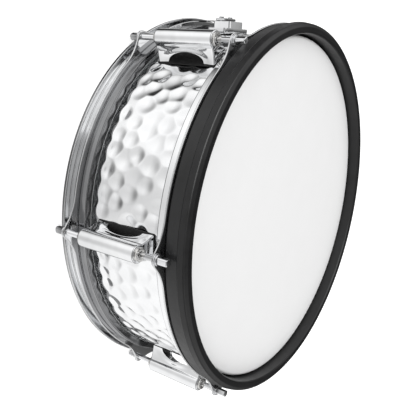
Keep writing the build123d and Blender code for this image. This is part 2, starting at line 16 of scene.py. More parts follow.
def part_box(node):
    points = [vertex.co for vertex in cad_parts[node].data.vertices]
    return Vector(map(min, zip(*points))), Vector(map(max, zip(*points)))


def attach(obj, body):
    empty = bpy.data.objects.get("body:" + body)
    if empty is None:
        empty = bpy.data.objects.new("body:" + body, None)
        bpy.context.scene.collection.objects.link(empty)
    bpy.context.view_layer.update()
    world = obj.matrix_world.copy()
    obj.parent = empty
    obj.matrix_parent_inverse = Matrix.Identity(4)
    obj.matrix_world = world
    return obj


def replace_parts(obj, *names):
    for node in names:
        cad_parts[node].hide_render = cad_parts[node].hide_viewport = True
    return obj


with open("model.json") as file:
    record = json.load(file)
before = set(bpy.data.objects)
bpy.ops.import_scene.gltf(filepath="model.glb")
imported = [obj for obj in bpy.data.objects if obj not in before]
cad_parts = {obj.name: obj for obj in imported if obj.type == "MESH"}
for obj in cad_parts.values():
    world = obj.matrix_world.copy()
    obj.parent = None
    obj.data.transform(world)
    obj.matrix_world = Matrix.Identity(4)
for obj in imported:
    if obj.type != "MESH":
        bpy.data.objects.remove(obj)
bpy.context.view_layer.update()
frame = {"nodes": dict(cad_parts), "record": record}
nodes = frame["nodes"]
subparts = frame["record"]["subparts"]
slot_of = {subpart["node"]: subpart["material_slot"] for subpart in subparts}
MM = 0.001
MICRON = 0.000001
TAU = 2 * math.pi
random.seed(7)


# Camera: beside and above the drum, rolled so that the drum stands on edge in the picture
CAMERA_PLACE = Vector((-0.1671, -0.5261, 0.3856))
CAMERA_AIM = Vector((0.0092, -0.0204, 0.0446))
CAMERA_ROLL = math.radians(103.13)
CAMERA_LENS = 49.2
SENSOR_WIDTH = 36.0
NEAREST_SEEN = 0.01
FURTHEST_SEEN = 50.0


def aimed(place, aim):
    """Turn that points an object's -Z from one place at another."""
    return (Vector(aim) - Vector(place)).to_track_quat("-Z", "Y")


def add_camera():
    """Perspective camera, aimed and then rolled about its own axis."""
    data = bpy.data.cameras.new("camera")
    data.lens = CAMERA_LENS
    data.sensor_width = SENSOR_WIDTH
    data.clip_start = NEAREST_SEEN
    data.clip_end = FURTHEST_SEEN
    camera = bpy.data.objects.new("camera", data)
    bpy.context.scene.collection.objects.link(camera)
    roll = Matrix.Rotation(CAMERA_ROLL, 4, "Z").to_quaternion()
    camera.location = CAMERA_PLACE
    camera.rotation_mode = "QUATERNION"
    camera.rotation_quaternion = aimed(CAMERA_PLACE, CAMERA_AIM) @ roll
    bpy.context.scene.camera = camera


add_camera()


# Materials
class Shader:
    """A new material's node tree, with short ways to add and wire its nodes."""

    def __init__(self, name):
        self.name = name
        self.material = bpy.data.materials.new(name)
        self.material.use_nodes = True
        self.tree = self.material.node_tree
        self.surface = self.tree.nodes["Principled BSDF"]
        self.place = self.tree.nodes.new("ShaderNodeTexCoord").outputs["Object"]

    def add(self, kind, **properties):
        """Add a node, and set its properties."""
        node = self.tree.nodes.new(kind)
        for key, value in properties.items():
            setattr(node, key, value)
        return node

    def link(self, output, socket):
        self.tree.links.new(output, socket)

    def set(self, **values):
        """Set constants on the surface's own sockets, named in lower case with underscores."""
        for key, value in values.items():
            socket = key.replace("_", " ").title().replace("Ior", "IOR")
            self.surface.inputs[socket].default_value = value

    def noise(self, scale, detail=4.0, roughness=0.55, vector=None):
        """Noise from 0 to 1. The scale is its number of features per metre."""
        node = self.add("ShaderNodeTexNoise")
        node.inputs["Scale"].default_value = scale
        node.inputs["Detail"].default_value = detail
        node.inputs["Roughness"].default_value = roughness
        self.link(vector or self.place, node.inputs["Vector"])
        return node.outputs["Fac"]

    def stretched(self, x, y, z):
        """The object's coordinates scaled by a different amount along each axis."""
        node = self.add("ShaderNodeMapping")
        node.inputs["Scale"].default_value = (x, y, z)
        self.link(self.place, node.inputs["Vector"])
        return node.outputs["Vector"]

    def ramp(self, factor, stops):
        """Colour that follows stops, each a position from 0 to 1 and a colour."""
        node = self.add("ShaderNodeValToRGB")
        elements = node.color_ramp.elements
        while len(elements) < len(stops):
            elements.new(0.5)
        for element, (position, colour) in zip(elements, stops):
            element.position = position
            element.color = (*colour, 1.0)
        self.link(factor, node.inputs["Fac"])
        return node.outputs["Color"]

    def map_range(self, value, from_low, from_high, to_low=0.0, to_high=1.0):
        """Map one range of values to another, without going past its ends."""
        node = self.add("ShaderNodeMapRange")
        node.inputs["From Min"].default_value = from_low
        node.inputs["From Max"].default_value = from_high
        node.inputs["To Min"].default_value = to_low
        node.inputs["To Max"].default_value = to_high
        self.link(value, node.inputs["Value"])
        return node.outputs["Result"]

    def colour(self, noise, dark, light):
        """Vary the surface's colour with noise, whose middle part covers the whole range."""
        self.link(self.ramp(noise, [(0.3, dark), (0.7, light)]), self.surface.inputs["Base Color"])

    def roughness(self, noise, low, high):
        """Vary the surface's roughness with noise, whose middle half covers the whole range."""
        self.link(self.map_range(noise, 0.25, 0.75, low, high), self.surface.inputs["Roughness"])

    def bump(self, height, distance, strength=1.0):
        """Add relief of a height in metres, on top of any relief that's already wired."""
        node = self.add("ShaderNodeBump")
        node.inputs["Distance"].default_value = distance
        node.inputs["Strength"].default_value = strength
        self.link(height, node.inputs["Height"])
        socket = self.surface.inputs["Normal"]
        if socket.is_linked:
            self.link(socket.links[0].from_socket, node.inputs["Normal"])
        self.link(node.outputs["Normal"], socket)


def grained_material(name, metallic, colour, roughness, relief):
    """Colour, gloss and relief that each vary with noise of their own.

    Each of the three starts with its noise's settings. The colour goes on with a dark and a light
    tone, the roughness with its lowest and highest value, and the relief with its height.
    """
    shader = Shader(name)
    shader.set(metallic=metallic)
    shader.colour(shader.noise(*colour[0]), *colour[1:])
    shader.roughness(shader.noise(*roughness[0]), *roughness[1:])
    shader.bump(shader.noise(*relief[0]), *relief[1:])
    return shader


def chrome(name, dark, light, rough_low, rough_high, ripple=6 * MICRON, ripple_scale=160.0):
    """Plated metal: faint smudges in its gloss, hairline polish marks and a slight ripple."""
    shader = grained_material(
        name, 1.0, ((38.0, 5.0), dark, light), ((95.0, 6.0), rough_low, rough_high),
        ((ripple_scale, 2.0), ripple),
    )
    shader.bump(shader.noise(900.0, 3.0, vector=shader.stretched(1.0, 1.0, 0.08)), 0.7 * MICRON)
    return shader


def shell_chrome():
    """The hammered shell's plating, with painted shade darkening it along the crease that borders
    the hammered zone.
    """
    shader = chrome("shell_metal", (0.86, 0.865, 0.875), (0.93, 0.935, 0.94), 0.07, 0.13)
    base = shader.surface.inputs["Base Color"]
    painted_crease_shade = shader.add("ShaderNodeAttribute", attribute_name="painted_crease_shade")
    mix = shader.add("ShaderNodeMix", data_type="RGBA")
    factor, clean, dark = mix.inputs["Factor"], mix.inputs[6], mix.inputs[7]
    shader.link(painted_crease_shade.outputs["Fac"], factor)
    shader.link(base.links[0].from_socket, clean)
    # Painted shade: near black, standing in for the shadow in the crease
    dark.default_value = (0.01, 0.01, 0.011, 1.0)
    shader.link(mix.outputs[2], base)
    return shader


def cover_rubber():
    """Satin black moulded rubber with a fine grain and a slight waviness."""
    shader = grained_material(
        "cover_rubber", 0.0, ((60.0, 6.0), (0.006, 0.006, 0.0062), (0.01, 0.01, 0.0105)),
        ((240.0, 5.0), 0.32, 0.44), ((1800.0, 3.0), 10 * MICRON),
    )
    shader.bump(shader.noise(25.0, 2.0), 40 * MICRON)
    shader.set(specular_ior_level=0.42)
    return shader


def coated_film():
    """White coated drum head: a matte sprayed coat with fine grain and faint unevenness."""
    shader = grained_material(
        "batter_film", 0.0, ((30.0, 8.0, 0.7), (0.885, 0.885, 0.885), (0.9, 0.9, 0.9)),
        ((420.0, 5.0), 0.5, 0.68), ((1300.0, 6.0, 0.7), 40 * MICRON),
    )
    shader.set(coat_weight=0.05, coat_roughness=0.4)
    return shader


def clear_film():
    """Thin hazy snare-side film: milky, glossy and partly see-through."""
    shader = grained_material(
        "snare_film", 0.0, ((45.0, 6.0), (0.74, 0.76, 0.77), (0.82, 0.83, 0.84)),
        ((120.0, 5.0), 0.16, 0.26), ((30.0, 2.0), 30 * MICRON),
    )
    shader.set(transmission_weight=0.35, coat_weight=0.3, coat_roughness=0.08)
    return shader


def woven_ribbon():
    """Black woven ribbon: fine crossing ribs."""
    shader = Shader("strap_plastic")
    shader.colour(shader.noise(300.0, 4.0), (0.012, 0.012, 0.013), (0.035, 0.035, 0.037))
    shader.roughness(shader.noise(500.0, 4.0), 0.55, 0.75)
    for bands in ("X", "Y", "Z"):
        wave = shader.add("ShaderNodeTexWave", bands_direction=bands)
        wave.inputs["Scale"].default_value = 320.0
        shader.link(shader.place, wave.inputs["Vector"])
        shader.bump(wave.outputs["Fac"], 60 * MICRON, 0.6)
    return shader


shaders = [
    shell_chrome(),
    chrome("hoop_chrome", (0.8, 0.805, 0.815), (0.88, 0.885, 0.89), 0.07, 0.11, 2 * MICRON, 60.0),
    chrome("lug_chrome", (0.8, 0.805, 0.815), (0.9, 0.905, 0.91), 0.01, 0.02, 0.4 * MM, 40.0),
    chrome("rod_chrome", (0.78, 0.785, 0.8), (0.88, 0.885, 0.895), 0.05, 0.12),
    # Painted shade: flesh_metal is a darkened copy of the flesh hoops' metal, worn by the snare
    # side
    chrome("flesh_metal", (0.26, 0.262, 0.268), (0.34, 0.342, 0.348), 0.14, 0.2, 2 * MICRON),
    chrome("flesh_bright", (0.84, 0.845, 0.855), (0.92, 0.925, 0.93), 0.06, 0.1),
    coated_film(),
    clear_film(),
    cover_rubber(),
    woven_ribbon(),
    grained_material(
        "gasket_rubber", 0.0, ((140.0, 5.0), (0.004, 0.004, 0.004), (0.01, 0.01, 0.01)),
        ((300.0, 4.0), 0.45, 0.65), ((1500.0, 4.0), 20 * MICRON),
    ),
    grained_material(
        "zinc", 1.0, ((180.0, 3.0), (0.42, 0.43, 0.45), (0.6, 0.6, 0.62)),
        ((260.0, 5.0), 0.28, 0.45), ((700.0, 4.0), 10 * MICRON),
    ),
    grained_material(
        "brass_nut", 1.0, ((120.0, 4.0), (0.7, 0.69, 0.67), (0.8, 0.79, 0.77)),
        ((220.0, 4.0), 0.12, 0.24), ((600.0, 3.0), 10 * MICRON),
    ),
    grained_material(
        "spacer_plastic", 0.0, ((90.0, 4.0), (0.7, 0.69, 0.65), (0.8, 0.79, 0.76)),
        ((200.0, 4.0), 0.4, 0.55), ((800.0, 3.0), 10 * MICRON),
    ),
    grained_material(
        "wire_steel", 1.0, ((400.0, 3.0), (0.55, 0.55, 0.57), (0.75, 0.75, 0.77)),
        ((500.0, 4.0), 0.16, 0.3), ((2500.0, 2.0), 4 * MICRON),
    ),
]
materials = {shader.name: shader.material for shader in shaders}

for node, slot in slot_of.items():
    nodes[node].data.materials.clear()
    nodes[node].data.materials.append(materials[slot])


# Mesh helpers
SMOOTH_BELOW = math.radians(32)


def add_piece(name, vertices, faces, slot, body="drum", finish=None):
    """Make a mesh piece that rides on a body, with its slot's material or another finish."""
    mesh = bpy.data.meshes.new(name)
    mesh.from_pydata([tuple(v) for v in vertices], [], faces)
    form = bmesh.new()
    form.from_mesh(mesh)
    bmesh.ops.recalc_face_normals(form, faces=form.faces)
    form.to_mesh(mesh)
    form.free()
    mesh.polygons.foreach_set("use_smooth", [True] * len(mesh.polygons))
    mesh.set_sharp_from_angle(angle=SMOOTH_BELOW)
    mesh.materials.append(materials[finish or slot])
    piece = bpy.data.objects.new(name, mesh)
    bpy.context.scene.collection.objects.link(piece)
    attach(piece, body)
    return piece


def ring_faces(rings, around, closed=True):
    """Quads between neighbouring rings, and from the last ring to the first if it's closed."""
    faces = []
    for ring in range(rings if closed else rings - 1):
        here = ring * around
        above = (ring + 1) % rings * around
        for k in range(around):
            after = (k + 1) % around
            faces.append((here + k, here + after, above + after, above + k))
    return faces


def tube_faces(rings, around):
    """Quads along an open tube, and a flat cap at each end."""
    last = (rings - 1) * around
    caps = [tuple(reversed(range(around))), tuple(range(last, last + around))]
    return ring_faces(rings, around, closed=False) + caps


def join_meshes(parts):
    """One array of vertices and one list of faces from several."""
    vertices, faces, total = [], [], 0
    for points, polygons in parts:
        vertices.append(points)
        faces += [tuple(v + total for v in polygon) for polygon in polygons]
        total += len(points)
    return np.vstack(vertices), faces


def ring(radius, height, angles):
    """Points around Z at one radius and height, or at one of each for every angle."""
    x, y = radius * np.cos(angles), radius * np.sin(angles)
    return np.column_stack([x, y, np.full(len(angles), height)])


def eased(value):
    """Clip to 0 to 1 and smooth both ends of the way between."""
    value = np.clip(value, 0, 1)
    return value * value * (3 - 2 * value)


# Turned pieces. Their closed sections list corners in millimetres: radius, height and rounding
TURN_STEPS = 720
TURN_ANGLES = np.arange(TURN_STEPS) * TAU / TURN_STEPS
ARC_STEPS = 6
LEAST_ROUNDING = 0.01
LONGEST_REACH = 0.49
SUPPORT_GAP = 0.12
SUPPORTED_LENGTH = 8 * SUPPORT_GAP


def round_corners(corners):
    """Outline whose corners are replaced with arcs, each within its own half of an edge."""
    outline = []
    for index, (r, z, rounding) in enumerate(corners):
        here = Vector((r, z))
        before = Vector(corners[index - 1][:2]) - here
        after = Vector(corners[(index + 1) % len(corners)][:2]) - here
        half_turn = before.angle(after) / 2
        reach = min(rounding / math.tan(half_turn),
                    before.length * LONGEST_REACH, after.length * LONGEST_REACH)
        radius = reach * math.tan(half_turn)
        if radius < LEAST_ROUNDING:
            outline.append(here)
            continue
        before.normalize()
        after.normalize()
        centre = here + (before + after).normalized() * (radius / math.sin(half_turn))
        start = here + before * reach - centre
        turn = start.angle_signed(here + after * reach - centre)
        for step in range(ARC_STEPS + 1):
            outline.append(centre + Matrix.Rotation(-turn * step / ARC_STEPS, 2) @ start)
    return outline


def turned_section(corners):
    """Rounded outline in metres. Points near the ends of long edges keep their shading flat."""
    outline = round_corners(corners)
    supported = []
    for here, after in zip(outline, outline[1:] + outline[:1]):
        supported.append(here)
        length = (after - here).length
        if length > SUPPORTED_LENGTH:
            share = SUPPORT_GAP / length
            supported += [here.lerp(after, share), here.lerp(after, 1 - share)]
    return [(point.x * MM, point.y * MM) for point in supported]


def turned_mesh(corners, reach=None):
    """Section turned around Z. With a reach, its outer part follows the ears' outline."""
    rings = []
    outline = turned_section(corners)
    for r, z in outline:
        radius = np.full(TURN_STEPS, r)
        if reach is not None and r > EAR_ROOT:
            radius += (r - EAR_ROOT) / (FLANGE_RADIUS - EAR_ROOT) * (reach - FLANGE_RADIUS)
        rings.append(ring(radius, z, TURN_ANGLES))
    return np.vstack(rings), ring_faces(len(outline), TURN_STEPS)


FLESH_SECTION = [(178.75, 0.0, 0.3), (185.6, 0.0, 1.6), (185.6, 9.4, 1.6), (178.75, 9.4, 0.3)]
# Painted shade: the snare-side flesh hoop gets the darkened copy of the metal, and the batter side
# gets the bright one
FLESH_HOOPS = (("snare", 14.4, "flesh_metal"), ("batter", 105.8, "flesh_bright"))
for side, low, finish in FLESH_HOOPS:
    section = [(r, z + low, rounding) for r, z, rounding in FLESH_SECTION]
    piece = add_piece(f"{side}_flesh_ring", *turned_mesh(section), "flesh_metal", finish=finish)
    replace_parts(piece, f"{side}_flesh_hoop")

COVER_SECTION = [
    (185.7, 117.2, 0.2), (187.2, 117.2, 0.8), (189.6, 120.0, 0.8), (190.35, 131.3, 0.4),
    (191.0, 132.3, 0.7), (189.9, 138.0, 2.5), (186.6, 140.3, 1.4), (181.2, 140.3, 1.2),
    (180.2, 138.6, 1.0), (180.2, 120.2, 0.3), (183.1, 120.2, 0.2), (183.1, 136.8, 0.2),
    (184.9, 136.8, 0.2), (184.9, 117.9, 0.2),
]
rubber_cover = add_piece("rubber_cover", *turned_mesh(COVER_SECTION), "cover_rubber")
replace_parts(rubber_cover, "rim_cover")


# Hoops: a turned wall, and a flange whose edge runs out into an ear at each tension rod
LUG_ANGLES = [math.radians(30 + 60 * index) for index in range(6)]
ROD_CIRCLE = 197.0 * MM
EAR_TIP = 6.0 * MM
EAR_ROOT = 186.0 * MM
EAR_BASE = Vector((183.5 * MM, 26.0 * MM))
EAR_BLEND = 7.0 * MM
FLANGE_INNER = 183.6
FLANGE_OUTER = 190.0
FLANGE_THICKNESS = 1.8
FLANGE_RADIUS = FLANGE_OUTER * MM
SEARCH_MARGIN = 1 * MM
SEARCH_STEPS = 24


def ear_gap(x, y):
    """Distance from points to one ear's outline, negative inside. The ear points along +X."""
    base = EAR_BASE - Vector((ROD_CIRCLE, 0))
    normal_angle = math.atan2(base.y, base.x) - math.acos(EAR_TIP / base.length)
    along, across = x - ROD_CIRCLE, np.abs(y)
    straight = along * math.cos(normal_angle) + across * math.sin(normal_angle) - EAR_TIP
    round_end = np.hypot(along, across) - EAR_TIP
    return np.where(np.arctan2(across, along) < normal_angle, round_end, straight)


def ear_reach():
    """Radius of the flange's edge at each step around the hoop, found by halving."""
    sector = TAU / len(LUG_ANGLES)
    offset = (TURN_ANGLES - LUG_ANGLES[0] + sector / 2) % sector - sector / 2
    inside = np.full(TURN_STEPS, FLANGE_RADIUS - SEARCH_MARGIN)
    outside = np.full(TURN_STEPS, ROD_CIRCLE + EAR_TIP + SEARCH_MARGIN)
    for _ in range(SEARCH_STEPS):
        radius = (inside + outside) / 2
        ear = ear_gap(radius * np.cos(offset), radius * np.sin(offset))
        flange = radius - FLANGE_RADIUS
        overlap = np.clip(EAR_BLEND - np.abs(ear - flange), 0, None)
        gap = np.minimum(ear, flange) - overlap ** 2 / (4 * EAR_BLEND)
        inside = np.where(gap < 0, radius, inside)
        outside = np.where(gap < 0, outside, radius)
    return inside


def add_hoop(name, wall, flange_low, node):
    """One piece from a hoop's wall and its flange with ears."""
    flange_high = flange_low + FLANGE_THICKNESS
    flange = [
        (FLANGE_INNER, flange_low, 0.1), (FLANGE_OUTER, flange_low, 0.8),
        (FLANGE_OUTER, flange_high, 0.8), (FLANGE_INNER, flange_high, 0.1),
    ]
    parts = join_meshes([turned_mesh(wall), turned_mesh(flange, ear_reach())])
    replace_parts(add_piece(name, *parts, "hoop_chrome"), node)


SNARE_WALL = [
    (182.5, 14.3, 0.3), (182.5, 0.0, 1.9), (192.1, 0.0, 1.9), (193.0, 4.6, 0.7),
    (191.3, 4.9, 0.7), (190.9, 1.9, 0.6), (184.3, 1.9, 1.1), (184.3, 14.3, 0.3),
]
BATTER_WALL = [(183.1, 115.3, 0.2), (184.9, 115.3, 0.2), (184.9, 136.8, 0.7), (183.1, 136.8, 0.7)]
add_hoop("snare_rim", SNARE_WALL, 12.6, "snare_hoop")
add_hoop("batter_rim", BATTER_WALL, 115.2, "batter_hoop")


# Lugs: a barrel round the rods, standing on hollowed sides with an arch between two feet
LUG_MIDDLE = 66.0 * MM
LUG_HALF = 32.0 * MM
LUG_ROWS = 64
END_ROUNDING = 1.4 * MM
END_ANGLES = [math.radians(angle) for angle in range(0, 91, 15)]
BARREL_RADIUS = 8.4 * MM
BARREL_JOIN = math.radians(118)
BARREL_STEPS = 28
SEAT_RADIUS = 178.75 * MM
SEAT_HALF_WIDTH = 11.4 * MM
SIDE_HOLLOW = 0.4 * MM
SIDE_SCOOP = 1.0 * MM
SIDE_STEPS = 20
ARCH_HALF = 20.0 * MM
ARCH_HEIGHT = 8.5 * MM
LIP_REACH = 0.55
LIP_DEPTH = 0.9 * MM


def lug_section(height, inset):
    """Open outline from one foot, over the barrel, to the other, shrunk by an inset."""
    radius = BARREL_RADIUS - inset

    def on_barrel(angle):
        return Vector((ROD_CIRCLE + radius * math.cos(angle), radius * math.sin(angle)))

    hollow = SIDE_HOLLOW + SIDE_SCOOP * (1 - (height / LUG_HALF) ** 2)
    seat = SEAT_RADIUS
    if abs(height) < ARCH_HALF:
        seat += ARCH_HEIGHT * math.sqrt(1 - (height / ARCH_HALF) ** 2)
    join = on_barrel(BARREL_JOIN)
    foot = Vector((SEAT_RADIUS, SEAT_HALF_WIDTH - inset))
    first_share = (seat - SEAT_RADIUS) / (join.x - SEAT_RADIUS)
    side = []
    for step in range(SIDE_STEPS + 1):
        share = first_share + (1 - first_share) * step / SIDE_STEPS
        point = foot.lerp(join, share)
        point.y -= hollow * 4 * share * (1 - share)
        arch_gap = math.hypot(height / ARCH_HALF, (point.x - SEAT_RADIUS) / ARCH_HEIGHT) - 1
        point.y -= LIP_DEPTH * eased(1 - arch_gap / LIP_REACH)
        side.append(point)
    steps = range(1, BARREL_STEPS)
    barrel = [on_barrel(BARREL_JOIN * (1 - 2 * step / BARREL_STEPS)) for step in steps]
    mirrored = [Vector((point.x, -point.y)) for point in reversed(side)]
    return side + barrel + mirrored


def lug_mesh():
    """Sections stacked along Z, drawn in at both ends to round them, and closed by flat ends."""
    ends = [(LUG_HALF - END_ROUNDING * (1 - math.cos(angle)), END_ROUNDING * (1 - math.sin(angle)))
            for angle in END_ANGLES]
    span = 2 * (LUG_HALF - END_ROUNDING)
    stations = [(-height, inset) for height, inset in ends]
    stations += [(-span / 2 + span * row / LUG_ROWS, 0.0) for row in range(1, LUG_ROWS)]
    stations += reversed(ends)
    vertices = []
    for height, inset in stations:
        outline = lug_section(height, inset)
        vertices += [(point.x, point.y, LUG_MIDDLE + height) for point in outline]
    return vertices, tube_faces(len(stations), len(outline))


lug_points, lug_faces = lug_mesh()
for number, angle in enumerate(LUG_ANGLES, start=1):
    turn = Matrix.Rotation(angle, 3, "Z")
    turned_points = [turn @ Vector(point) for point in lug_points]
    piece = add_piece(f"lug_body_{number}", turned_points, lug_faces, "lug_chrome")
    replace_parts(piece, f"lug_{number}")


# Small hardware: the model's own shapes with their edges broken, so that they catch the light
EDGE_BREAK = 0.22 * MM
EDGE_SEGMENTS = 2
SHARP_EDGE = math.radians(38)
FLAT_EDGE = math.radians(0.5)
WELD_DISTANCE = 0.002 * MM
bodies = frame["record"]["behaviour"]["bodies"]
body_of = {node: body for body, members in bodies.items() for node in members}
rods = [f"{side}_rod_{number}" for side in ("batter", "snare") for number in range(1, 7)]
hardware = rods + [
    "rod_washers", "swivel_nuts", "strainer_housing", "lever_pin", "throw_off_lever",
    "strainer_slider", "tension_knob", "strap_carriage", "strap_clamp", "strap_clamp_screws",
    "butt_plate", "butt_clamp", "butt_clamp_screws", "end_plate_strainer", "end_plate_butt",
    "vent_grommet",
]


def break_edges(node):
    """Copy one piece of hardware with small bevels along its sharp edges."""
    form = bmesh.new()
    form.from_mesh(nodes[node].data)
    bmesh.ops.transform(form, matrix=nodes[node].matrix_world, verts=form.verts)
    bmesh.ops.remove_doubles(form, verts=form.verts, dist=WELD_DISTANCE)
    bmesh.ops.dissolve_limit(form, angle_limit=FLAT_EDGE, verts=form.verts, edges=form.edges)
    sharp = [edge for edge in form.edges
             if edge.is_manifold and edge.calc_face_angle() > SHARP_EDGE]
    bmesh.ops.bevel(form, geom=sharp, offset=EDGE_BREAK, segments=EDGE_SEGMENTS, profile=0.5,
                    affect="EDGES", clamp_overlap=True)
    form.verts.index_update()
    vertices = [tuple(vertex.co) for vertex in form.verts]
    faces = [tuple(vertex.index for vertex in face.verts) for face in form.faces]
    form.free()
    piece = add_piece(f"{node}_finished", vertices, faces, slot_of[node], body_of[node])
    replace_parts(piece, node)


for node in hardware:
    break_edges(node)


# Shell: hammered wall, with a smooth band at each end and turned-in bearing edges
shell_low, shell_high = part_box("shell")
SHELL_RADIUS = shell_high.y
SHELL_WALL = 1.5 * MM
WALL_END = 4.2 * MM
INSIDE_END = 1.5 * MM
DIMPLE_ROOM = 1.2 * MM
# Bearing edge in millimetres: inset from the shell's radius, and distance from the shell's end
BEARING_EDGE = [(2.8, 0.5), (4.0, 0.1), (5.2, 0.5), (11.0, 6.0), (10.4, 7.2), (4.6, 2.6)]
GRID_STEP = 0.85 * MM
FINE_STEP = 0.22 * MM
FINE_ABOVE = 3 * MM

# Hammer marks: staggered rows, with each mark's place, size and depth varied
HAMMER_LOW = 31.0 * MM
HAMMER_HIGH = 111.0 * MM
DIMPLE_PITCH = 18.5 * MM
DIMPLE_RADIUS = 10.2 * MM
DIMPLE_DEPTH = 1.3 * MM
DIMPLE_STRETCH = 1.15
DIMPLE_FADE = 8.0 * MM
DIMPLES_AROUND = round(TAU * SHELL_RADIUS / DIMPLE_PITCH)
ROW_GAP = DIMPLE_PITCH * math.sqrt(3) / 2
FIRST_ROW = 0.25
TURN_JITTER = 0.24
HEIGHT_JITTER = 0.22
SIZE_RANGE = (0.78, 1.14)
DEPTH_RANGE = (0.7, 1.25)
BOWL_POWER = 1.7
RIDGE_POWER = 2.2

# Smooth band under the hammered zone: a scalloped step down, with painted shade along its crease
BAND_STEP = 0.7 * MM
BAND_BLEND = 1.6 * MM
BAND_WAVE = 3.0 * MM
BAND_BELOW = 1.0 * MM
BAND_LEAN = math.tan(math.radians(17))
SCALLOP_POWER = 1.3
# Painted shade along the crease: how far below the step it sits, and how wide it is
PAINTED_SHADE_BELOW = 0.3 * MM
PAINTED_SHADE_WIDTH = 0.65 * MM


def scatter_dimples():
    """Each hammer mark's angle, height, size and depth."""
    rows = round((HAMMER_HIGH - HAMMER_LOW) / ROW_GAP) + 1
    marks = []
    for row in range(rows):
        for column in range(DIMPLES_AROUND):
            stagger = 0.5 * (row % 2)
            turn = column + stagger + random.uniform(-TURN_JITTER, TURN_JITTER)
            rise = row + FIRST_ROW + random.uniform(-HEIGHT_JITTER, HEIGHT_JITTER)
            size = DIMPLE_RADIUS * random.uniform(*SIZE_RANGE)
            depth = DIMPLE_DEPTH * random.uniform(*DEPTH_RANGE)
            marks.append((turn / DIMPLES_AROUND * TAU, HAMMER_LOW + ROW_GAP * rise, size, depth))
    return marks


def hammered_depths(angles, heights):
    """How deep the marks are at each grid point, with soft ridges where they meet."""
    depths = np.zeros((len(heights), len(angles)))
    for angle, height, size, deepest in scatter_dimples():
        rows = np.abs(heights - height) < size * DIMPLE_STRETCH
        across = np.abs((angles - angle + math.pi) % TAU - math.pi) * SHELL_RADIUS
        columns = across < size
        if not rows.any() or not columns.any():
            continue
        along = (heights[rows][:, None] - height) / DIMPLE_STRETCH
        distance = np.hypot(across[columns][None, :], along) / size
        bowl = deepest * np.clip(1 - distance ** 2, 0, None) ** BOWL_POWER
        depths[np.ix_(rows, columns)] += bowl ** RIDGE_POWER
    return depths ** (1 / RIDGE_POWER)


def build_shell():
    """Closed wall: a fine hammered outside, and the section's plain inside and bearing edges."""
    around = round(TAU * SHELL_RADIUS / GRID_STEP)
    angles = np.arange(around) * TAU / around
    wall_low, wall_high = shell_low.z + WALL_END, shell_high.z - WALL_END
    fine_high = HAMMER_LOW + FINE_ABOVE
    coarse_rows = round((wall_high - fine_high) / GRID_STEP)
    heights = np.concatenate([
        np.arange(wall_low, fine_high, FINE_STEP), np.linspace(fine_high, wall_high, coarse_rows),
    ])

    scallops = BAND_WAVE * np.abs(np.cos(angles * DIMPLES_AROUND / 2)) ** SCALLOP_POWER
    inside = heights[:, None] - (HAMMER_LOW - BAND_BELOW - scallops)[None, :]
    fade = eased((inside - BAND_BLEND / 2) / DIMPLE_FADE)
    fade *= np.clip((wall_high - heights) / DIMPLE_FADE, 0, 1)[:, None]
    step = BAND_STEP * eased(0.5 - inside / BAND_BLEND)
    lean = BAND_LEAN * np.clip(-inside, 0, None)
    radius = SHELL_RADIUS - fade * hammered_depths(angles, heights) - step - lean

    edge = [(SHELL_RADIUS - inset * MM, drop * MM) for inset, drop in BEARING_EDGE]
    inner = SHELL_RADIUS - SHELL_WALL - DIMPLE_ROOM
    profile = [(r, shell_high.z - drop) for r, drop in edge]
    profile += [(inner, wall_high - INSIDE_END), (inner, wall_low + INSIDE_END)]
    profile += [(r, shell_low.z + drop) for r, drop in reversed(edge)]
    rings = [ring(row, height, angles) for row, height in zip(radius, heights)]
    rings += [ring(r, z, angles) for r, z in profile]
    faces = ring_faces(len(rings), around)
    piece = add_piece("hammered_shell", np.vstack(rings), faces, "shell_metal")
    # Painted shade: a mask that peaks along the crease, which the shell's material mixes towards
    # near black
    painted_crease_shade = np.zeros(len(rings) * around)
    painted_crease_shade[:radius.size] = np.exp(-((inside + PAINTED_SHADE_BELOW) / PAINTED_SHADE_WIDTH) ** 2).ravel()
    piece.data.attributes.new("painted_crease_shade", "FLOAT", "POINT").data.foreach_set("value", painted_crease_shade)
    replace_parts(piece, "shell")


build_shell()


# Snare wires: each one a coil of fine wire
wires_low, wires_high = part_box("snare_wires")
WIRE_COUNT = 20
WIRE_PITCH = 2.0 * MM
COIL_RADIUS = 0.75 * MM
COIL_WIRE = 0.2 * MM
COIL_RISE = 1.7 * MM
COIL_STEPS = 10
WIRE_SIDES = 5


def coil_mesh(y, z, start, end):
    """Tube along a helix about a line parallel to X."""
    steps = int((end - start) / COIL_RISE * COIL_STEPS)
    t = np.arange(steps + 1) / COIL_STEPS * TAU
    x = start + (end - start) * np.arange(steps + 1) / steps
    centre = np.column_stack([x, y + COIL_RADIUS * np.cos(t), z + COIL_RADIUS * np.sin(t)])
    outward = np.column_stack([np.zeros_like(t), np.cos(t), np.sin(t)])
    slope = COIL_RISE / (TAU * COIL_RADIUS)
    tangent = np.column_stack([np.full_like(t, slope), -np.sin(t), np.cos(t)])
    side = np.cross(tangent / math.hypot(1, slope), outward)
    lines = []
    for k in range(WIRE_SIDES):
        angle = TAU * k / WIRE_SIDES
        lines.append(centre + COIL_WIRE * (math.cos(angle) * outward + math.sin(angle) * side))
    return np.stack(lines, axis=1).reshape(-1, 3), tube_faces(steps + 1, WIRE_SIDES)


def build_wires():
    """All the coils side by side, as one piece."""
    height = (wires_low.z + wires_high.z) / 2
    rows = [(index - (WIRE_COUNT - 1) / 2) * WIRE_PITCH for index in range(WIRE_COUNT)]
    coils = join_meshes([coil_mesh(y, height, wires_low.x, wires_high.x) for y in rows])
    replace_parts(add_piece("coiled_wires", *coils, "wire_steel", "snares"), "snare_wires")


build_wires()


# Floor and light
FLOOR_HALF = 6.0
FLOOR_GREY = 0.8
FLOOR_GLOW = 0.6
WORLD_GLOW = 0.98
WHITE = (1.0, 1.0, 1.0, 1.0)
REFLECTOR_RADIUS = 2.5
REFLECTOR_SUBDIVISIONS = 5
HORIZON_BLEND = 0.03
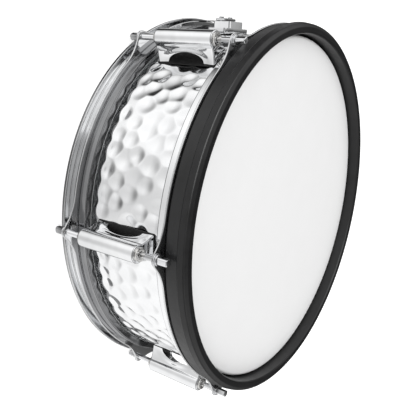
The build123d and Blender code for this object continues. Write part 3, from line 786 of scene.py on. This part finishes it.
# Reflector's brightness around the drum, by azimuth in degrees from +X: below the horizon
LOWER_AROUND = (
    (-180, 0.55), (-165, 1.0), (-150, 1.15), (-128, 1.05), (-112, 0.82), (-96, 0.74), (-85, 0.78),
    (-72, 0.9), (-60, 1.04), (-20, 1.08), (4, 1.05), (14, 0.9), (20, 0.5), (26, 0.06), (50, 0.05),
    (60, 0.6), (72, 1.0), (84, 1.0), (92, 0.15), (121, 0.06), (126, 0.8), (133, 0.8),
    (138, 0.06), (171, 0.04), (176, 0.3), (180, 0.55),
)
# and above it
UPPER_AROUND = (
    (-180, 1.0), (-150, 0.9), (-125, 0.45), (-60, 0.35), (-25, 0.8), (20, 0.8), (38, 0.3),
    (48, 0.07), (96, 0.07), (112, 0.4), (135, 1.0), (180, 1.0),
)
# Its brightness up and down, by the sine of the elevation
UP_AND_DOWN = (
    (-1.0, 0.02), (-0.93, 0.05), (-0.84, 0.4), (-0.72, 0.8), (-0.56, 1.0), (-0.2, 1.0),
    (-0.07, 0.6), (-0.02, 0.08), (0.07, 0.05), (0.2, 0.5), (0.42, 1.1), (0.7, 1.1), (0.82, 0.4),
    (1.0, 0.25),
)
# Area lights: where each is and what it's aimed at, its width, height and power in watts
KEY_SOFTBOX = ((-0.9, -0.5, 1.5), (0, 0, 0.07), 1.0, 0.8, 1.6)
FILL_SOFTBOX = ((1.0, -0.9, 1.1), (0, 0, 0.07), 0.8, 0.8, 0.9)
EDGE_STRIP = ((-1.25, -1.15, 0.95), (0, 0, 0.13), 1.8, 0.16, 26.0)


def add_floor():
    """Pale floor, bright enough to read white, with a faint contact shadow."""
    mesh = bpy.data.meshes.new("floor")
    corners = [(-1, -1), (1, -1), (1, 1), (-1, 1)]
    mesh.from_pydata([(x * FLOOR_HALF, y * FLOOR_HALF, 0) for x, y in corners], [], [(0, 1, 2, 3)])
    floor = bpy.data.objects.new("floor", mesh)
    bpy.context.scene.collection.objects.link(floor)
    shader = Shader("floor_white")
    shader.set(base_color=(FLOOR_GREY, FLOOR_GREY, FLOOR_GREY, 1.0), roughness=0.9)
    shader.set(emission_color=WHITE, emission_strength=FLOOR_GLOW)
    mesh.materials.append(shader.material)
    floor.visible_glossy = False


def panel_material():
    """Glow whose brightness depends on the direction from the sphere's middle."""
    shader = Shader("reflector_panels")

    def grey(value, stops, low, high):
        value = shader.map_range(value, low, high)
        places = [((place - low) / (high - low), (level,) * 3) for place, level in stops]
        return shader.ramp(value, places)

    direction = shader.add("ShaderNodeVectorMath", operation="NORMALIZE")
    shader.link(shader.place, direction.inputs[0])
    split = shader.add("ShaderNodeSeparateXYZ")
    shader.link(direction.outputs["Vector"], split.inputs["Vector"])
    azimuth = shader.add("ShaderNodeMath", operation="ARCTAN2")
    shader.link(split.outputs["Y"], azimuth.inputs[0])
    shader.link(split.outputs["X"], azimuth.inputs[1])
    degrees = shader.add("ShaderNodeMath", operation="DEGREES")
    shader.link(azimuth.outputs["Value"], degrees.inputs[0])
    around = shader.add("ShaderNodeMix", data_type="FLOAT")
    height = split.outputs["Z"]
    above_horizon = shader.map_range(height, -HORIZON_BLEND, HORIZON_BLEND)
    shader.link(above_horizon, around.inputs[0])
    shader.link(grey(degrees.outputs["Value"], LOWER_AROUND, -180, 180), around.inputs[2])
    shader.link(grey(degrees.outputs["Value"], UPPER_AROUND, -180, 180), around.inputs[3])
    level = shader.add("ShaderNodeMath", operation="MULTIPLY")
    shader.link(around.outputs[0], level.inputs[0])
    shader.link(grey(height, UP_AND_DOWN, -1, 1), level.inputs[1])
    glow = shader.add("ShaderNodeEmission")
    shader.link(level.outputs["Value"], glow.inputs["Strength"])
    output = shader.tree.nodes["Material Output"]
    shader.link(glow.outputs["Emission"], output.inputs["Surface"])
    return shader.material


def add_reflector():
    """Studio walls that only the gloss sees: light panels with dark flags between them."""
    mesh = bpy.data.meshes.new("reflector")
    form = bmesh.new()
    bmesh.ops.create_icosphere(form, subdivisions=REFLECTOR_SUBDIVISIONS, radius=REFLECTOR_RADIUS)
    form.to_mesh(mesh)
    form.free()
    reflector = bpy.data.objects.new("reflector", mesh)
    bpy.context.scene.collection.objects.link(reflector)
    mesh.materials.append(panel_material())
    reflector.visible_camera = False
    reflector.visible_diffuse = False
    reflector.visible_shadow = False
    reflector.visible_transmission = False


def add_world():
    """Even, soft white light from all round."""
    world = bpy.data.worlds.new("studio")
    bpy.context.scene.world = world
    world.use_nodes = True
    background = world.node_tree.nodes["Background"]
    background.inputs["Color"].default_value = WHITE
    background.inputs["Strength"].default_value = WORLD_GLOW


def add_light(name, place, aim, width, height, power):
    """Rectangular area light."""
    data = bpy.data.lights.new(name, "AREA")
    data.shape = "RECTANGLE"
    data.size = width
    data.size_y = height
    data.energy = power
    light = bpy.data.objects.new(name, data)
    bpy.context.scene.collection.objects.link(light)
    light.location = place
    light.rotation_mode = "QUATERNION"
    light.rotation_quaternion = aimed(place, aim)
    return light


add_floor()
add_reflector()
add_world()
add_light("key_softbox", *KEY_SOFTBOX)
add_light("fill_softbox", *FILL_SOFTBOX)
strip = add_light("edge_strip", *EDGE_STRIP)
# The strip draws the highlight along the rim cover, and lights nothing else
lit_by_strip = bpy.data.collections.new("lit_by_strip")
lit_by_strip.objects.link(rubber_cover)
strip.light_linking.receiver_collection = lit_by_strip
bpy.context.scene.view_settings.view_transform = "Standard"
